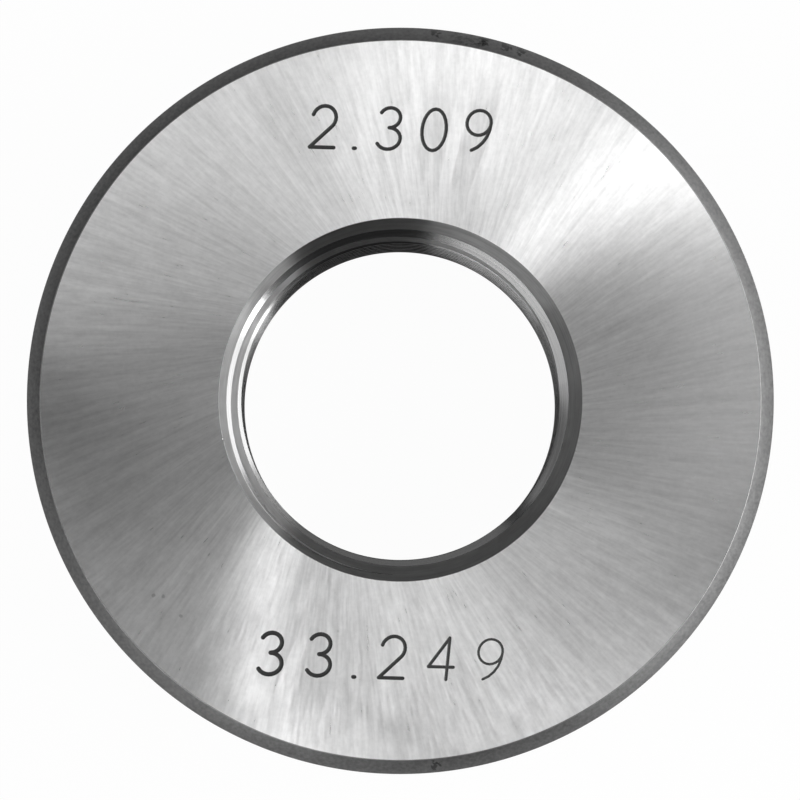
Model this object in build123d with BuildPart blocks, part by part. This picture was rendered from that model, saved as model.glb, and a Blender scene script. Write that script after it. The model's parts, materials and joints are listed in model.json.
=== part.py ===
"""Solid thread ring gauge, GO side, for a nominal 1 inch parallel pipe thread.

One hardened steel ring: turned with chamfered rims, bored, countersunk at both ends and
cut with a right-hand thread. It lies on its back face with the bore axis along +Z.
Sizes are in mm.
"""
from build123d import *
from build123d.topology import SkipClean
from math import ceil, radians, tan
import os

# Blank
ring_diameter = 71.0
ring_width = 24.0
rim_chamfer = 1.3

# Thread: 55 degree Whitworth form with flat crests and roots
major_diameter = 33.249
thread_pitch = 2.309
half_flank_angle = 27.5
depth_ratio = 0.640327  # thread depth as a share of the pitch, fixed by the form
flat_ratio = 1 / 6  # crest flat as a share of the pitch, fixed by the form
start_angle = 51.0  # where the middle of the groove meets the plane of the front face

# Countersinks that lead the checked thread in
mouth_over_major = 1.23  # mouth diameter beyond the major diameter
lead_half_angle = 30.0

rim_radius = ring_diameter / 2
groove_radius = major_diameter / 2
thread_depth = depth_ratio * thread_pitch
bore_radius = groove_radius - thread_depth
mouth_radius = groove_radius + mouth_over_major / 2
lead_depth = (mouth_radius - bore_radius) / tan(radians(lead_half_angle))

# Half a turn of the groove: a trapezium swept along the bore wall. Its open side stands
# a little inside the wall, by less than would make two turns touch.
flank_slope = tan(radians(half_flank_angle))
overrun = thread_pitch / 10
open_half = (1 - flat_ratio) * thread_pitch / 2 + overrun * flank_slope
root_half = open_half - (thread_depth + overrun) * flank_slope

with BuildPart() as half_turn:
    with BuildLine() as groove_path:
        Helix(pitch=thread_pitch, height=thread_pitch / 2, radius=bore_radius)
    with BuildSketch(Plane.XZ):
        with BuildLine():
            Polyline(
                (groove_radius, -root_half),
                (groove_radius, root_half),
                (bore_radius - overrun, open_half),
                (bore_radius - overrun, -open_half),
                close=True,
            )
        make_face()
    sweep(path=groove_path.wires()[0], is_frenet=True)


def threaded_half(rise):
    """Half of the wall inside the mouths, with its half turns of the groove cut out."""
    first = ring_width + thread_pitch * (1 - start_angle / 360) + rise
    turns = ceil(first / thread_pitch) + 2
    with BuildPart() as half:
        with BuildSketch(Plane.XZ):
            with BuildLine():
                Polyline(
                    (bore_radius, lead_depth),
                    (mouth_radius, 0),
                    (mouth_radius, ring_width),
                    (bore_radius, ring_width - lead_depth),
                    close=True,
                )
            make_face()
        revolve(axis=Axis.Z, revolution_arc=180)
        with Locations(*[(0, 0, first - turn * thread_pitch) for turn in range(turns)]):
            add(half_turn.part, mode=Mode.SUBTRACT)
    return half.part


with BuildPart() as gauge_ring:
    # Outside the mouths the wall is plain: two ground faces and a rim with chamfers.
    with BuildSketch(Plane.XZ):
        with BuildLine():
            Polyline(
                (mouth_radius, 0),
                (rim_radius - rim_chamfer, 0),
                (rim_radius, rim_chamfer),
                (rim_radius, ring_width - rim_chamfer),
                (rim_radius - rim_chamfer, ring_width),
                (mouth_radius, ring_width),
                close=True,
            )
        make_face()
    revolve(axis=Axis.Z)
    # The second half continues the groove, so it starts half a pitch up. The halves are
    # joined as they are, and each half turn of the crest stays a short face of its own.
    with SkipClean():
        add(threaded_half(0))
        add(threaded_half(thread_pitch / 2).rotate(Axis.Z, 180))

os.makedirs("parts", exist_ok=True)
gauge_ring.part.label = "gauge_ring"
export_step(gauge_ring.part, "parts/gauge_ring.step")
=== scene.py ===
import bpy
import json
from math import atan2, cos, floor, pi, radians, sin, tan
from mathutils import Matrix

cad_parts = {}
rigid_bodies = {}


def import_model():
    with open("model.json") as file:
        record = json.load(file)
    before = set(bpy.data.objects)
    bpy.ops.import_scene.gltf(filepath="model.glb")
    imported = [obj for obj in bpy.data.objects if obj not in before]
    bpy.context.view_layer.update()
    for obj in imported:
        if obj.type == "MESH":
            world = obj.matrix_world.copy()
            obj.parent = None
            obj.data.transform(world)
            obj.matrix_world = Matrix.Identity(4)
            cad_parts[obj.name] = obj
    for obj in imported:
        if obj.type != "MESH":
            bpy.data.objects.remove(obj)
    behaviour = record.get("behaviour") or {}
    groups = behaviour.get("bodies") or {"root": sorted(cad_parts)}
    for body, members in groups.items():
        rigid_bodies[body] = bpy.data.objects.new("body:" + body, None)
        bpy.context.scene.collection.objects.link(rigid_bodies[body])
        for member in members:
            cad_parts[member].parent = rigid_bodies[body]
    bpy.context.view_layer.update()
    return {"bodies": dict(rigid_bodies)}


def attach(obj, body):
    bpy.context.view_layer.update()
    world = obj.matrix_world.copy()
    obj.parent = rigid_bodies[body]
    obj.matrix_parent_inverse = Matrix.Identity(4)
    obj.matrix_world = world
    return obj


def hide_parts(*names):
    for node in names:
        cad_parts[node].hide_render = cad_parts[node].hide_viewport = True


# %% [markdown]
# # A thread ring gauge, step by step
# The gauge is one ring of hardened steel. A machinist screws it over a pipe thread to see whether
# the thread fits. It lies on its back face here, with its bore axis along Z, and the script dresses
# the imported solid: it makes the ring with finer edges, engraves it, gives each ground or turned
# surface its own finish, and lights it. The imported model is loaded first, because every piece made
# later has to ride on one of its bodies and stay inside its box.

# %% Load the frame
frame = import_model()
body = list(frame["bodies"])[0]

# %% [markdown]
# ## Sizes
# A gauge maker works from a short table: the ring blank, the thread form, and the two countersinks
# that lead a thread in. The same values are kept here in millimetres, and what follows from them is
# worked out, so the thread, its run-out and the mouths stay in step.

# %% The table of sizes, in millimetres
rim_radius = 35.5
ring_width = 24.0
rim_chamfer = 1.3
pitch = 2.309
thread_depth = 0.640327 * pitch
thread_angle = 55.0
major_diameter = 33.249
mouth_clearance = 1.23
lead_half_angle = 30.0
start_angle = 51.0
groove_radius = major_diameter / 2
bore_radius = groove_radius - thread_depth
mouth_radius = groove_radius + mouth_clearance / 2
lead_depth = (mouth_radius - bore_radius) / tan(radians(lead_half_angle))
flank_slope = tan(radians(thread_angle / 2))
print("bore radius %.3f, mouth radius %.3f, lead depth %.3f" % (bore_radius, mouth_radius, lead_depth))

# %% [markdown]
# ## Writing node trees as sums
# Both the ring's shape and its finishes are node trees. Wiring Math nodes by hand hides the formula,
# so a small class wraps a socket and lets plain Python operators add the nodes. A second class wraps
# the tree: its one method adds any node, sets its options first, and then fills or links its sockets.


# %% Sockets that add up
class Wire:
    """An output socket of a tree, ready for arithmetic."""

    def __init__(self, tree, socket):
        self.tree = tree
        self.socket = socket

    def maths(self, operation, *values):
        return self.tree.add("ShaderNodeMath", {"operation": operation}, dict(enumerate(values)))

    def __add__(self, other):
        return self.maths("ADD", self, other)

    def __radd__(self, other):
        return self.maths("ADD", other, self)

    def __sub__(self, other):
        return self.maths("SUBTRACT", self, other)

    def __rsub__(self, other):
        return self.maths("SUBTRACT", other, self)

    def __mul__(self, other):
        return self.maths("MULTIPLY", self, other)

    def __rmul__(self, other):
        return self.maths("MULTIPLY", other, self)

    def __truediv__(self, other):
        return self.maths("DIVIDE", self, other)

    def __rtruediv__(self, other):
        return self.maths("DIVIDE", other, self)

    def __neg__(self):
        return self.maths("MULTIPLY", self, -1)

    def __gt__(self, other):
        return self.maths("GREATER_THAN", self, other)

    def __lt__(self, other):
        return self.maths("LESS_THAN", self, other)

    def __abs__(self):
        return self.maths("ABSOLUTE", self)


# %% A tree that takes any node
class Tree:
    """A node tree with one method that adds a node, sets it up and returns one of its outputs."""

    def __init__(self, nodes):
        self.data = nodes

    def add(self, kind, settings=None, values=None, output=0):
        node = self.data.nodes.new(kind)
        for name, setting in (settings or {}).items():
            setattr(node, name, setting)
        for name, value in (values or {}).items():
            self.fill(node.inputs[name], value)
        return Wire(self, node.outputs[output]) if node.outputs else node

    def fill(self, socket, value):
        if isinstance(value, Wire):
            self.data.links.new(value.socket, socket)
        elif isinstance(value, (list, tuple)) and value and isinstance(value[0], Wire):
            for one in reversed(value):
                self.data.links.new(one.socket, socket)
        else:
            socket.default_value = value


# %% [markdown]
# ## The finishes, as empty names
# The ring is one piece of metal with six finishes: ground faces, a dull turned rim, stoned edges,
# turned countersinks, lapped thread flanks and blackened engraving. The shape needs to say which face
# gets which, so the materials are made empty now and filled in once the shape stands.

# %% Six empty materials
FINISHES = ("ground_face", "matt_rim", "bright_edge", "lead_in", "thread_flank", "blackened_mark")
finish = {}
for name in FINISHES:
    finish[name] = bpy.data.materials.new(name)
    finish[name].use_nodes = True
    finish[name].node_tree.nodes.clear()
print("finishes:", list(finish))

# %% [markdown]
# ## The ring, turned and threaded
# A lathe makes this part, so the tree does what the lathe does. It draws half of the section as a
# closed curve, breaks its corners with a small fillet, and carries it round a circle. The thread is a
# second section carried along a spiral, and a boolean cuts it out. The boolean gives the run-out in
# the countersinks for free: the groove gets shallower and leaves the cone in a crescent, which would
# be hard to draw by hand. Everything is worked in millimetres and scaled to metres at the end, so
# that the exact boolean has comfortable numbers.

# %% A tree for the ring, with its sizes as named inputs
ring_tree = Tree(bpy.data.node_groups.new("ring_from_sections", "GeometryNodeTree"))
ring_face = ring_tree.data.interface
ring_face.new_socket("Geometry", in_out="INPUT", socket_type="NodeSocketGeometry")
ring_face.new_socket("Geometry", in_out="OUTPUT", socket_type="NodeSocketGeometry")
RING_SIZES = {
    "Rim radius": rim_radius,
    "Width": ring_width,
    "Rim chamfer": rim_chamfer,
    "Bore radius": bore_radius,
    "Mouth radius": mouth_radius,
    "Lead depth": lead_depth,
    "Groove radius": groove_radius,
    "Pitch": pitch,
    "Flank slope": flank_slope,
    "Start angle": start_angle,
    "Edge break": 0.07,
    "Crest break": 0.05,
    "Mark radius": 0.231,
}
for name, size in RING_SIZES.items():
    ring_face.new_socket(name, in_out="INPUT", socket_type="NodeSocketFloat").default_value = size
ring_group = ring_tree.data.nodes.new("NodeGroupInput")
size = {name: Wire(ring_tree, ring_group.outputs[name]) for name in RING_SIZES}
print("ring inputs:", list(size))


# %% A closed section from its corners
def section(tree, corners, rounding):
    """A closed curve through (radius, height) corners, measured from the bore's wall."""
    index = tree.add("GeometryNodeInputIndex")
    places = {0: index}
    radii = {0: index}
    for number, (radius, height) in enumerate(corners):
        corner = {"X": radius - size["Bore radius"], "Y": height}
        places[number + 1] = tree.add("ShaderNodeCombineXYZ", None, corner)
        radii[number + 1] = rounding[number]
    loop = tree.add("GeometryNodeMeshCircle", None, {"Vertices": len(corners)})
    place = switch(tree, "VECTOR", places)
    loop = tree.add("GeometryNodeSetPosition", None, {"Geometry": loop, "Position": place})
    curve = tree.add("GeometryNodeMeshToCurve", None, {"Mesh": loop})
    fillet = {"Curve": curve, "Radius": switch(tree, "FLOAT", radii), "Count": 3, "Limit Radius": True}
    return tree.add("GeometryNodeFilletCurve", {"mode": "POLY"}, fillet)


def switch(tree, kind, values):
    """An Index Switch with as many items as there are values after the index."""
    node = tree.data.nodes.new("GeometryNodeIndexSwitch")
    node.data_type = kind
    while len(node.index_switch_items) < len(values) - 1:
        node.index_switch_items.new()
    for number, value in values.items():
        tree.fill(node.inputs[number], value)
    return Wire(tree, node.outputs[0])


# %% The turned blank
width = size["Width"]
chamfer_start = size["Rim radius"] - size["Rim chamfer"]
# a profile's y points down once it is carried round, so heights go in negative
blank_corners = [
    (size["Bore radius"], -size["Lead depth"]),
    (size["Mouth radius"], 0 * width),
    (chamfer_start, 0 * width),
    (size["Rim radius"], -size["Rim chamfer"]),
    (size["Rim radius"], size["Rim chamfer"] - width),
    (chamfer_start, -width),
    (size["Mouth radius"], -width),
    (size["Bore radius"], size["Lead depth"] - width),
]
# the edge between a face and its chamfer is broken most, and catches a thin line of light
edge = size["Edge break"]
blank_rounding = [edge, 0.7 * edge, 2 * edge, 1.5 * edge, 1.5 * edge, 2 * edge, 0.7 * edge, edge]
lathe_steps = 360
lathe_path = ring_tree.add(
    "GeometryNodeCurvePrimitiveCircle", None, {"Resolution": lathe_steps, "Radius": size["Bore radius"]}
)
blank = ring_tree.add(
    "GeometryNodeCurveToMesh",
    None,
    {"Curve": lathe_path, "Profile Curve": section(ring_tree, blank_corners, blank_rounding)},
)

# %% Where the blank gets which finish
# how far a normal points along Z, from 0 to 1, on a flat face and on the broken edge beside it
flat_share = 0.999
edge_share = 0.75
position = ring_tree.add("GeometryNodeInputPosition")
part_x = ring_tree.add("ShaderNodeSeparateXYZ", None, {"Vector": position}, "X")
part_y = ring_tree.add("ShaderNodeSeparateXYZ", None, {"Vector": position}, "Y")
normal_z = ring_tree.add(
    "ShaderNodeSeparateXYZ", None, {"Vector": ring_tree.add("GeometryNodeInputNormal")}, "Z"
)
squared = part_x * part_x + part_y * part_y
distance = squared.maths("SQRT", squared)
level = abs(normal_z) > flat_share
inside = distance < size["Mouth radius"]
near_level = abs(normal_z) > edge_share


def paint(tree, mesh, name, where=True):
    """Gives the selected faces of a mesh one of the finishes."""
    return tree.add(
        "GeometryNodeSetMaterial", None, {"Geometry": mesh, "Selection": where, "Material": finish[name]}
    )


blank = paint(ring_tree, blank, "matt_rim")
blank = paint(ring_tree, blank, "bright_edge", near_level)
blank = paint(ring_tree, blank, "lead_in", inside)
blank = paint(ring_tree, blank, "ground_face", level)
print("nodes so far:", len(ring_tree.data.nodes))

# %% The thread cutter
# at the bore's wall a crest is one sixth of a pitch wide, so half a groove is five twelfths
groove_half_share = 5 / 12
spare_turns = 4
turns = floor(ring_width / pitch) + spare_turns
groove_depth = size["Groove radius"] - size["Bore radius"]
root_half = size["Pitch"] * groove_half_share - groove_depth * size["Flank slope"]
crest_out = size["Bore radius"] + size["Crest break"]
crest_half = root_half + (size["Groove radius"] - crest_out) * size["Flank slope"]
# beyond the wall the cutter flares, which bevels both edges of each crest
crest_in = size["Bore radius"] - 1.6 * size["Crest break"]
open_half = crest_half + 3.1 * size["Crest break"]
cutter_corners = [
    (size["Groove radius"], -root_half),
    (size["Groove radius"], root_half),
    (crest_out, crest_half),
    (crest_in, open_half),
    (crest_in, -open_half),
    (crest_out, -crest_half),
]
root_rounding = 0.12
crest_rounding = 0.01
cutter_rounding = [root_rounding] * 2 + [crest_rounding] * 4
steps_in_a_turn = 180
cutter_path = ring_tree.add(
    "GeometryNodeCurveSpiral",
    None,
    {
        "Resolution": steps_in_a_turn,
        "Rotations": float(turns),
        "Start Radius": size["Bore radius"],
        "End Radius": size["Bore radius"],
        "Height": size["Pitch"] * turns,
        "Reverse": True,
    },
)
cutter_path = ring_tree.add("GeometryNodeSetCurveNormal", {"mode": "Z_UP"}, {"Curve": cutter_path})
cutter = ring_tree.add(
    "GeometryNodeCurveToMesh",
    None,
    {
        "Curve": cutter_path,
        "Profile Curve": section(ring_tree, cutter_corners, cutter_rounding),
        "Fill Caps": True,
    },
)
lift = size["Width"] + size["Pitch"] * (2 - turns)
shift = ring_tree.add("ShaderNodeCombineXYZ", None, {"Z": lift})
turn = ring_tree.add("ShaderNodeCombineXYZ", None, {"Z": size["Start angle"] * (pi / 180)})
cutter = ring_tree.add(
    "GeometryNodeTransform", None, {"Geometry": cutter, "Translation": shift, "Rotation": turn}
)
cutter = paint(ring_tree, cutter, "thread_flank")
print("thread turns in the cutter:", turns)

# %% [markdown]
# ## Engraved numbers
# Size figures are cut into the face by an engraving machine: a small round-nosed cutter follows one
# centre line per stroke, and the groove is filled with black lacquer. The tree does the same. It reads
# the centre lines from the mesh that it is given, runs a round cutter along each, puts a ball at each
# end so that the strokes end and meet roundly, and joins all of them into one clean shape. The lower
# a line lies, the wider and deeper its groove, which is how a plate that sits a little out of level
# gives strokes that fade.

# %% The engraving cutter
centre_lines = Wire(ring_tree, ring_group.outputs["Geometry"])
strokes = ring_tree.add("GeometryNodeMeshToCurve", None, {"Mesh": centre_lines})
nose_steps = 16
nose = ring_tree.add(
    "GeometryNodeCurvePrimitiveCircle", None, {"Resolution": nose_steps, "Radius": size["Mark radius"]}
)
grooves = ring_tree.add(
    "GeometryNodeCurveToMesh", None, {"Curve": strokes, "Profile Curve": nose, "Fill Caps": True}
)
ends = ring_tree.add("GeometryNodeCurveEndpointSelection", None, {"Start Size": 1, "End Size": 1})
ball_steps = {"Segments": nose_steps, "Rings": nose_steps // 2}
ball = ring_tree.add("GeometryNodeMeshUVSphere", None, {**ball_steps, "Radius": size["Mark radius"]})
balls = ring_tree.add(
    "GeometryNodeInstanceOnPoints", None, {"Points": strokes, "Selection": ends, "Instance": ball}
)
balls = ring_tree.add("GeometryNodeRealizeInstances", None, {"Geometry": balls})
engraving = ring_tree.add(
    "GeometryNodeMeshBoolean",
    {"operation": "UNION", "solver": "EXACT"},
    {"Mesh 2": [grooves, balls], "Self Intersection": True},
)
engraving = paint(ring_tree, engraving, "blackened_mark")
print("engraving cutter: nose radius %.3f mm" % RING_SIZES["Mark radius"])

# %% [markdown]
# ## A dent and the final cut
# Use has left one small nick at the mouth, about as wide as a needle, whose bare bottom shines. A ball
# that is sunk a little into the face makes it. The thread is cut first and the marks after it, in two
# booleans, because the exact solver holds best when the cutters of one step don't come close together.

# %% A small dent at the mouth, from use
dent_radius = 0.24
dent_rise = 0.1
dent_place = (-16.73, -3.75, ring_width + dent_rise)
dent = ring_tree.add("GeometryNodeMeshUVSphere", None, {**ball_steps, "Radius": dent_radius})
dent = ring_tree.add("GeometryNodeTransform", None, {"Geometry": dent, "Translation": dent_place})
dent = paint(ring_tree, dent, "bright_edge")

# %% Cut, shade and scale
cut_away = {"operation": "DIFFERENCE", "solver": "EXACT"}
threaded = ring_tree.add("GeometryNodeMeshBoolean", cut_away, {"Mesh 1": blank, "Mesh 2": [cutter]})
body_mesh = ring_tree.add(
    "GeometryNodeMeshBoolean", cut_away, {"Mesh 1": threaded, "Mesh 2": [engraving, dent]}
)
smooth = ring_tree.add(
    "GeometryNodeSetShadeSmooth", {"domain": "FACE"}, {"Geometry": body_mesh, "Shade Smooth": True}
)
# edges that fold by more than this stay crisp
crease = radians(8)
fold = ring_tree.add("GeometryNodeInputMeshEdgeAngle")
crisp = ring_tree.add(
    "GeometryNodeSetShadeSmooth",
    {"domain": "EDGE"},
    {"Geometry": smooth, "Selection": fold > crease, "Shade Smooth": False},
)
to_metres = (0.001, 0.001, 0.001)
metres = ring_tree.add("GeometryNodeTransform", None, {"Geometry": crisp, "Scale": to_metres})
realized = ring_tree.add("GeometryNodeRealizeInstances", None, {"Geometry": metres})
ring_out = ring_tree.data.nodes.new("NodeGroupOutput")
ring_tree.fill(ring_out.inputs["Geometry"], realized)
print("ring tree: %d nodes" % len(ring_tree.data.nodes))


# %% [markdown]
# ## Running the tree
# A modifier runs the tree on a seed, which is the mesh of centre lines. What comes out is copied into a
# plain mesh and the seed is thrown away, so that nothing has to be evaluated again later.


# %% Run the tree and keep a plain mesh
def grow(name, tree, sizes, seed_mesh):
    """Evaluates a tree on a seed mesh and returns a plain mesh object with no modifier left."""
    seed = bpy.data.objects.new(name + "_seed", seed_mesh)
    bpy.context.scene.collection.objects.link(seed)
    modifier = seed.modifiers.new("shape", "NODES")
    modifier.node_group = tree.data
    for item in tree.data.interface.items_tree:
        if item.in_out == "INPUT" and item.name in sizes:
            modifier[item.identifier] = sizes[item.name]
    graph = bpy.context.evaluated_depsgraph_get()
    mesh = bpy.data.meshes.new_from_object(seed.evaluated_get(graph))
    bpy.data.objects.remove(seed)
    mesh.name = name
    piece = bpy.data.objects.new(name, mesh)
    bpy.context.scene.collection.objects.link(piece)
    return piece


# %% [markdown]
# ## The figures as centre lines
# The figures are plain numbers: the thread's pitch above the bore and its outer size below. Each is
# drawn once, one unit high, from arcs and straight lines, as on an engraver's brass type. A row sets
# them out at a wide pitch, leans and turns them, and gives each point its height above the face.


# %% Figures one unit high
def arc(centre_x, centre_y, radius_x, radius_y, first, last):
    """Points along an elliptical arc, one about every 15 degrees."""
    count = max(2, round(abs(last - first) / 15))
    steps = [radians(first + (last - first) * step / count) for step in range(count + 1)]
    return [(centre_x + radius_x * cos(step), centre_y + radius_y * sin(step)) for step in steps]


FIGURES = {
    "0": [arc(0.29, 0.5, 0.29, 0.5, 0, 180), arc(0.29, 0.5, 0.29, 0.5, 180, 360)],
    "2": [arc(0.29, 0.71, 0.28, 0.29, 165, -38) + [(0.0, 0.0)], [(0.0, 0.0), (0.58, 0.0)]],
    "3": [arc(0.27, 0.76, 0.25, 0.24, 150, -90), arc(0.27, 0.26, 0.29, 0.26, 90, -150)],
    "4": [[(0.45, 0.0), (0.45, 1.0)], [(0.45, 1.0), (0.0, 0.3)], [(0.0, 0.3), (0.6, 0.3)]],
    "9": [
        arc(0.29, 0.7, 0.29, 0.3, 0, 180),
        arc(0.29, 0.7, 0.29, 0.3, 180, 360),
        arc(-0.02, 0.7, 0.6, 0.7, 0, -72),
    ],
    ".": [[(0.26, 0.0), (0.3, 0.0)]],
}
print("figures drawn:", "".join(FIGURES))


# %% A row of figures
figure_height = 3.95
half_figure = 0.29
slant = 0.07
row_turn = radians(-1.7)


def row(text, middle_x, base_y, pitch_x, rise_left, rise_right):
    """Centre lines of one row in millimetres, with the cutter's rise changing from left to right."""
    lines = []
    cells = [0.5 if figure == "." else 1.0 for figure in text]
    length = sum(cells) - 1
    for place, figure in enumerate(text):
        along = sum(cells[:place]) + (cells[place] - 1) / 2
        rise = rise_left + (rise_right - rise_left) * along / length
        shift = (along - length / 2) * pitch_x - half_figure * figure_height
        for line in FIGURES[figure]:
            points = []
            for x, y in line:
                flat_x = middle_x + shift + (x + slant * y) * figure_height
                flat_y = base_y + y * figure_height
                turned_x = flat_x * cos(row_turn) - flat_y * sin(row_turn)
                turned_y = flat_x * sin(row_turn) + flat_y * cos(row_turn)
                points.append((turned_x, turned_y, ring_width + rise))
            lines.append(points)
    return lines


mark_lines = row("2.309", middle_x=-0.85, base_y=23.75, pitch_x=4.2, rise_left=0.13, rise_right=0.16)
mark_lines += row("33.249", middle_x=-1.3, base_y=-26.4, pitch_x=4.6, rise_left=0.09, rise_right=0.19)
print("strokes:", len(mark_lines))

# %% The centre lines as a mesh of edges
mark_points = []
mark_edges = []
for line in mark_lines:
    first = len(mark_points)
    mark_points += line
    mark_edges += [(first + step, first + step + 1) for step in range(len(line) - 1)]
marks = bpy.data.meshes.new("marks")
marks.from_pydata(mark_points, mark_edges, [])
print("centre lines: %d points, %d edges" % (len(mark_points), len(mark_edges)))

# %% [markdown]
# ## Making the ring
# The tree now has its sizes and its centre lines, so it can run. The result replaces the packed
# solid and rides on the same body.

# %% Grow the ring
ring = grow("threaded_ring", ring_tree, RING_SIZES, marks)
triangles = sum(len(face.vertices) - 2 for face in ring.data.polygons)
print("ring: %d triangles, materials %s" % (triangles, [m.name for m in ring.data.materials]))

# %% Let it ride and stand for the solid
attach(ring, body)
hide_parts("gauge_ring")
print("rides on:", body)

# %% [markdown]
# ## Reading a place on the ring
# Every finish here follows the way the ring was made: turned surfaces carry rings, ground faces carry
# scratches, and dirt sits in spots. So each material starts from the object's own coordinates, in
# millimetres, and works out the distance from the axis and the angle round it. Noise that is read in
# round coordinates closes on itself without a seam, because an angle goes in as its cosine and sine.


# %% Round coordinates
class Place:
    """Where a point lies on the ring, in millimetres, for one material's tree."""

    def __init__(self, tree):
        self.tree = tree
        self.spot = tree.add("ShaderNodeTexCoord", None, None, "Object")
        parts = {"Vector": self.spot}
        self.x, self.y, self.z = [
            tree.add("ShaderNodeSeparateXYZ", None, parts, axis) * 1000 for axis in "XYZ"
        ]
        self.radius = self.reach(self.x, self.y)
        self.angle = self.y.maths("ARCTAN2", self.y, self.x)

    def reach(self, x, y):
        """How far (x, y) lies from nought."""
        squared = x * x + y * y
        return squared.maths("SQRT", squared)

    def streaks(self, angle, count, along, detail=2.0):
        """Noise from -0.5 to 0.5 with so many streaks in a turn, stretched along the last value."""
        round_x = angle.maths("COSINE", angle) * (count / (2 * pi))
        round_y = angle.maths("SINE", angle) * (count / (2 * pi))
        place = self.tree.add("ShaderNodeCombineXYZ", None, {"X": round_x, "Y": round_y, "Z": along})
        noise = {"Vector": place, "Scale": 1.0, "Detail": detail}
        return self.tree.add("ShaderNodeTexNoise", None, noise) - 0.5

    def grain(self, per_mm):
        """Noise from -0.5 to 0.5 that is alike in all directions."""
        noise = {"Vector": self.spot, "Scale": per_mm * 1000.0, "Detail": 2.0}
        return self.tree.add("ShaderNodeTexNoise", None, noise) - 0.5

    def above(self, height):
        """1 where the ring is higher than this, and 0 below, with a short fade."""
        return self.tree.add("ShaderNodeClamp", None, {"Value": (self.z - height) * 2.0})

    def spots(self, centres, size, ragged):
        """A mask that is 1 in a few ragged spots about (x, y) centres, and 0 elsewhere."""
        mask = 0.0
        for x, y in centres:
            distance = self.reach(self.x - x, self.y - y) + ragged
            near = self.tree.add("ShaderNodeClamp", None, {"Value": (size - distance) * (3.0 / size)})
            mask = near + mask
        return self.tree.add("ShaderNodeClamp", None, {"Value": mask})


# %% Small shader helpers
def grey(tree, value):
    """A neutral colour of the given value."""
    return tree.add("ShaderNodeCombineColor", None, {"Red": value, "Green": value, "Blue": value})


def bumped(tree, height, depth_mm):
    """A Bump node for a height that is counted in the given depth."""
    relief = {"Height": height, "Strength": 1.0, "Distance": depth_mm / 1000}
    return tree.add("ShaderNodeBump", None, relief)


def metal(tree, tone, roughness, normal, anisotropy=0.0, lean=0.0):
    """A Principled shader for bare steel. Anisotropy and its lean are the same all over."""
    values = {
        "Base Color": grey(tree, tone),
        "Metallic": 1.0,
        "Roughness": roughness,
        "Normal": normal,
        "Anisotropic": anisotropy,
        "Anisotropic Rotation": lean / 360,
    }
    return tree.add("ShaderNodeBsdfPrincipled", None, values)


def finish_with(tree, shader):
    """Ends a material's tree with this shader as its surface."""
    tree.fill(tree.add("ShaderNodeOutputMaterial").inputs["Surface"], shader)


# %% [markdown]
# ## The ground faces
# The faces were ground last, by a cup wheel whose grit ran outwards from near the bore. The scratches
# aren't quite radial: each is a straight line that passes some 4 mm from a point near the axis, so it
# leans more near the bore than at the rim. They are far too fine to model. Two things stand for them.
# The shader's anisotropy spreads reflections across the scratches, which draws the bright and dark
# fans. Its lean has to be one number, so three shaders with three leans are mixed by the true lean.
# Noise that is constant along a scratch then draws those that the eye can pick out.

# %% The lean of the scratches
miss_distance = 4.3
wheel_offset = 1.7
wheel_bearing = radians(120)
LEANS = (4.0, 10.5, 17.0)


def scratch_angle(place, miss):
    """The direction in which a scratch runs, which is one value all along it."""
    x = place.x - wheel_offset * cos(wheel_bearing)
    y = place.y - wheel_offset * sin(wheel_bearing)
    away = miss / place.reach(x, y)
    return y.maths("ARCTAN2", y, x) + away.maths("ARCSINE", away)


def scratch_lean(place):
    """How far a scratch leans from the radial direction, in degrees."""
    sideways = place.y * cos(wheel_bearing) - place.x * sin(wheel_bearing)
    return (miss_distance + wheel_offset * sideways / place.radius) / place.radius * (180 / pi)


sample_radius = 26
for bearing in (40, 130, 220, 310):
    miss_here = miss_distance + wheel_offset * sin(radians(bearing) - wheel_bearing)
    lean_here = miss_here / sample_radius * (180 / pi)
    print("lean at %d degrees, %d mm from the axis: %.1f" % (bearing, sample_radius, lean_here))

# %% The face's tone, roughness and grooves
crossing_miss = miss_distance + 1.6
speck_places = [(-23.4, -18.6), (-22.5, -18.7), (-20.8, -20.5)]
speck_radius = 0.22
front_only = 20
brightest = 0.97
steel = Tree(finish["ground_face"].node_tree)
face = Place(steel)
running = scratch_angle(face, miss_distance)
fine = face.streaks(running, 640, face.radius * 0.5)
long_marks = face.streaks(running, 280, face.radius * 0.05)
crossing = face.streaks(scratch_angle(face, crossing_miss), 430, face.radius * 0.5)
grit = face.grain(2.6)
cloud = face.grain(0.35)
tone = 0.8 + fine * 0.21 + long_marks * 0.25 + crossing * 0.15 + grit * 0.14 + cloud * 0.08
specks = face.spots(speck_places, speck_radius, grit * 0.3) * face.above(front_only)
tone = steel.add("ShaderNodeClamp", None, {"Value": tone * (1 - specks * 0.3), "Max": brightest})
face_roughness = 0.3 + fine * 0.10 + cloud * 0.04 + specks * 0.2
face_normal = bumped(steel, long_marks, 0.0004)

# %% Three leans mixed into one face
straight, middle, slanted = [
    metal(steel, tone, face_roughness, face_normal, anisotropy=1.0, lean=lean) for lean in LEANS
]
true_lean = scratch_lean(face)
first, second, third = LEANS
to_middle = steel.add("ShaderNodeClamp", None, {"Value": (true_lean - first) / (second - first)})
to_slanted = steel.add("ShaderNodeClamp", None, {"Value": (true_lean - second) / (third - second)})
mixed = steel.add("ShaderNodeMixShader", None, {0: to_middle, 1: straight, 2: middle})
mixed = steel.add("ShaderNodeMixShader", None, {0: to_slanted, 1: mixed, 2: slanted})
finish_with(steel, mixed)
print("ground face:", len(steel.data.nodes), "nodes")

# %% [markdown]
# ## The matt rim
# The rim and its chamfers weren't ground after hardening. They keep a dull, dark grey skin with a fine
# grain and faint turning lines, and handling has left a few darker spots where oil has dried. The rim
# is rougher than the faces, so it takes a soft light from low lamps and no clear reflection.

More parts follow.
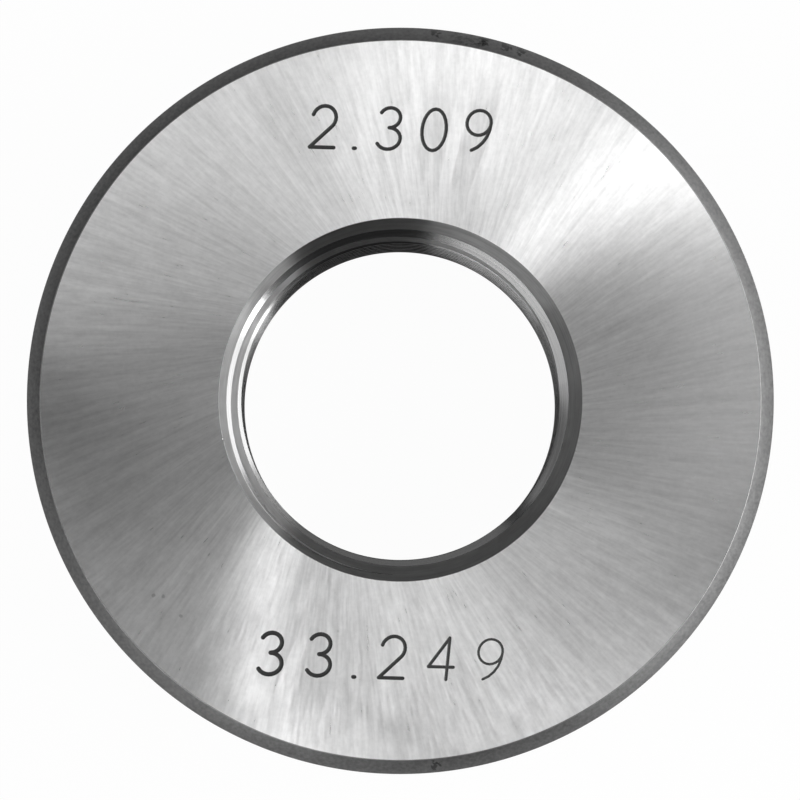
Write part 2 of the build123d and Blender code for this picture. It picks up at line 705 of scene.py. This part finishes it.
# %% The rim's skin
drop_places = [(3.3, 35.0), (7.9, 34.1), (10.0, 33.6), (11.5, 33.2), (3.3, -34.7)]
drop_radius = 0.45
smear_places = [(6.6, 34.3)]
smear_radius = 2.2
chamfer_foot = 22.6
skin = Tree(finish["matt_rim"].node_tree)
rim = Place(skin)
turning = rim.streaks(rim.angle, 5, (rim.radius + rim.z) * 5.0)
skin_grain = rim.grain(3.0)
patches = rim.grain(0.4)
blotches = skin.add("ShaderNodeClamp", None, {"Value": rim.grain(2.2) * 7 + 0.6})
smear = rim.spots(smear_places, smear_radius, patches * 1.6) * blotches * 0.7
drops = rim.spots(drop_places, drop_radius, skin_grain * 1.4)
stains = (drops + smear) * rim.above(chamfer_foot)
skin_tone = 0.144 + skin_grain * 0.12 + turning * 0.03 + patches * 0.035
skin_tone = skin_tone * (1 - stains * 0.5)
skin_normal = bumped(skin, skin_grain + turning, 0.004)
finish_with(skin, metal(skin, skin_tone, 0.45 + skin_grain * 0.1, skin_normal))
print("matt rim:", len(skin.data.nodes), "nodes")

# %% [markdown]
# ## Broken edges
# After grinding, every sharp edge is broken with a stone, which leaves a thin bright line between the
# face and the chamfer. It is so narrow that only its shine shows, and the metal is bare.

# %% The stoned edge
stoned = Tree(finish["bright_edge"].node_tree)
brow = Place(stoned)
nibble = brow.streaks(brow.angle, 260, brow.z * 2.0)
finish_with(stoned, metal(stoned, 0.24 + nibble * 0.16, 0.42, bumped(stoned, nibble, 0.004)))
print("stoned edge:", len(stoned.data.nodes), "nodes")

# %% [markdown]
# ## The countersinks
# The cones at both mouths are turned, so fine rings run round them. The tool leaves the metal duller
# than the ground thread, and low light from one side catches the cone that faces it.

# %% The turned cone
cone = Tree(finish["lead_in"].node_tree)
mouth = Place(cone)
rings = mouth.streaks(mouth.angle, 8, mouth.z * 7.0, detail=3.0)
wear = mouth.streaks(mouth.angle, 60, mouth.z * 1.5)
cone_tone = 0.3 + rings * 0.2 + wear * 0.14
cone_roughness = 0.33 + rings * 0.12
cone_normal = bumped(cone, rings, 0.006)
finish_with(cone, metal(cone, cone_tone, cone_roughness, cone_normal, anisotropy=1.0, lean=90))
print("turned cone:", len(cone.data.nodes), "nodes")

# %% [markdown]
# ## The ground thread
# The thread is ground and lapped to size, so its flanks are the smoothest surface of the ring. Fine
# lines run round the bore, and further down the flanks' colour is painted darker, as painted shade.

# %% The thread's flanks
unshaded_down_to = 21.5
bore_shade_fade = 7.0
flank = Tree(finish["thread_flank"].node_tree)
bore = Place(flank)
lapping = bore.streaks(bore.angle, 10, bore.radius * 8.0 + bore.z * 3.0, detail=3.0)
# painted shade: the flanks' colour is made darker the deeper they lie in the bore
painted_bore_shade = flank.add("ShaderNodeClamp", None, {"Value": (unshaded_down_to - bore.z) / bore_shade_fade})
flank_tone = (0.29 + lapping * 0.16) * (1 - painted_bore_shade * 0.45)
flank_roughness = 0.2 + lapping * 0.08
flank_normal = bumped(flank, lapping, 0.001)
finish_with(flank, metal(flank, flank_tone, flank_roughness, flank_normal, anisotropy=0.8, lean=90))
print("thread flank:", len(flank.data.nodes), "nodes")

# %% [markdown]
# ## The filled figures
# Engraved figures are wiped with black lacquer, which dries dull at the bottom of the groove and
# rubs off a little at its edges. It isn't metal, so its colour is a plain dark grey with a slight
# unevenness.

# %% The lacquer
groove_lip = 23.93
lacquer = Tree(finish["blackened_mark"].node_tree)
filled = Place(lacquer)
uneven = filled.grain(2.2)
rubbed = lacquer.add("ShaderNodeClamp", None, {"Value": (filled.z - groove_lip) * 6.0})
lacquer_tone = 0.014 + uneven * 0.02 + rubbed * 0.05
values = {"Base Color": grey(lacquer, lacquer_tone), "Roughness": 0.55 + uneven * 0.2}
finish_with(lacquer, lacquer.add("ShaderNodeBsdfPrincipled", None, values))
print("lacquer:", len(lacquer.data.nodes), "nodes")

# %% [markdown]
# ## The floor
# The ring lies on a plain pale sheet. A camera sees the sheet as nearly white, and so does the metal
# in part, because a polished thread shows whatever lies under the bore. To every other ray it is a
# plain light grey, so it doesn't flood the bore with light, and it still takes the ring's shadow.

# %% A pale sheet
sheet_half = 2.0
corners = [(-sheet_half, -sheet_half, 0), (sheet_half, -sheet_half, 0)]
corners += [(sheet_half, sheet_half, 0), (-sheet_half, sheet_half, 0)]
sheet_mesh = bpy.data.meshes.new("floor")
sheet_mesh.from_pydata(corners, [], [(0, 1, 2, 3)])
ground = bpy.data.objects.new("floor", sheet_mesh)
bpy.context.scene.collection.objects.link(ground)

# %% The sheet's white
sheet_grey = (0.7, 0.7, 0.7, 1)
seen_white = 0.97
mirrored_white = 0.4
pale = bpy.data.materials.new("pale_floor")
pale.use_nodes = True
pale.node_tree.nodes.clear()
paper = Tree(pale.node_tree)
seen = paper.add("ShaderNodeLightPath", None, None, "Is Camera Ray")
mirrored = paper.add("ShaderNodeLightPath", None, None, "Is Glossy Ray")
through = paper.add("ShaderNodeLightPath", None, None, "Is Transmission Ray")
white_light = seen * seen_white + mirrored * mirrored_white + through * seen_white
white_share = paper.add("ShaderNodeClamp", None, {"Value": white_light})
plain = paper.add("ShaderNodeBsdfDiffuse", None, {"Color": sheet_grey})
white = paper.add("ShaderNodeEmission", None, {"Color": (1, 1, 1, 1), "Strength": 1.0})
finish_with(paper, paper.add("ShaderNodeMixShader", None, {0: white_share, 1: plain, 2: white}))
sheet_mesh.materials.append(pale)
print("floor: %.1f m wide" % (2 * sheet_half))

# %% [markdown]
# ## The room
# Bare metal shows the room more than its own colour, so a bright room would wash out the dark side of
# the bore. The room's light is kept faint. Only the camera, and anything seen through glass, finds
# white walls. The bare metal doesn't, because the dark side of its fans shows the dim room.

# %% Faint light from all round
world = bpy.data.worlds.new("studio")
world.use_nodes = True
world.node_tree.nodes.clear()
room = Tree(world.node_tree)
room_light = 0.04
in_view = room.add("ShaderNodeLightPath", None, None, "Is Camera Ray")
through_glass = room.add("ShaderNodeLightPath", None, None, "Is Transmission Ray")
walls = {"Color": (1, 1, 1, 1), "Strength": room_light + (in_view + through_glass) * (1 - room_light)}
backdrop = room.add("ShaderNodeBackground", None, walls)
room.fill(room.add("ShaderNodeOutputWorld").inputs["Surface"], backdrop)
bpy.context.scene.world = world
print("room light:", room_light)

# %% [markdown]
# ## Soft lamps
# A ground face mirrors each lamp as a pair of fans, one on either side of the bore, at right angles to
# the lamp's bearing. So the fans tell where the light came from: a broad window low on the right, which
# also lights the left wall of the bore, a soft one on the left, and some small ones higher up that
# brighten the top and the bottom. A faint strip at the back shows in the thread's front flank. Each
# lamp is a flat panel at the same distance, and only its bearing, height, size and power differ.

# %% The lamps' table
lamp_distance = 0.8
LAMPS = {
    # name: bearing, height above the floor in degrees, width, height in metres, power
    "low_right_wide": (5, 20, 1.5, 0.42, 6.9),
    "low_right_spot": (315, 12, 0.14, 0.2, 0.61),
    "right_window": (5, 41, 0.56, 0.55, 2.2),
    "right_slot": (335, 41, 0.13, 0.55, 1.56),
    "high_right": (25, 66, 0.3, 0.42, 0.2),
    "high_back": (85, 72, 0.42, 0.32, 0.35),
    "back_strip": (90, 36, 1.1, 0.3, 0.47),
    "left_window": (175, 55, 0.75, 0.45, 1.06),
    "left_front": (215, 41, 0.85, 0.55, 1.16),
    "low_left_strip": (235, 27, 0.66, 0.2, 2.2),
    "high_front": (290, 67, 0.12, 0.18, 0.02),
}


# %% Hang each lamp so that it faces the ring
def hang_lamp(name, bearing, rise, width, height, power):
    """Hangs a panel at its distance, turned towards the ring. Returns its light on a white card."""
    light = bpy.data.lights.new(name, "AREA")
    light.shape = "RECTANGLE"
    light.size = width
    light.size_y = height
    light.energy = power
    lamp = bpy.data.objects.new(name, light)
    around = radians(bearing)
    up = radians(rise)
    level_distance = lamp_distance * cos(up)
    lamp.location = (level_distance * cos(around), level_distance * sin(around), lamp_distance * sin(up))
    lamp.rotation_euler = (pi / 2 - up, 0, around + pi / 2)
    bpy.context.scene.collection.objects.link(lamp)
    # this counts the panel as a point, and a broad panel gives somewhat less
    return power * sin(up) / (pi * lamp_distance) ** 2


card_light = room_light + sum(hang_lamp(name, *values) for name, values in LAMPS.items())
print("lamps: %d, counted as points they light a white card at %.2f" % (len(LAMPS), card_light))

# %% [markdown]
# ## The camera
# The camera looks almost straight down from arm's length. It stands a little towards the front, so
# the front chamfer looks wider than the back one and more of the bore's far wall shows. It is tipped by
# two small angles and not rolled, which keeps the rows of figures as level as they are cut.

# %% Above the ring, a little in front
aim_height = ring_width / 1000
stand_off = 0.65
step_left = 0.002
step_front = 0.0245
centring = 0.00004
eye = bpy.data.cameras.new("camera")
eye.sensor_width = 36
eye.lens = 308.6
eye.clip_end = 10
camera = bpy.data.objects.new("camera", eye)
camera.location = (-step_left - centring, -step_front - centring, aim_height + stand_off)
camera.rotation_euler = (atan2(step_front, stand_off), -atan2(step_left, stand_off), 0)
bpy.context.scene.collection.objects.link(camera)
bpy.context.scene.camera = camera
bpy.context.scene.view_settings.view_transform = "Standard"
print("camera tips forward by %.2f degrees" % (camera.rotation_euler[0] * (180 / pi)))
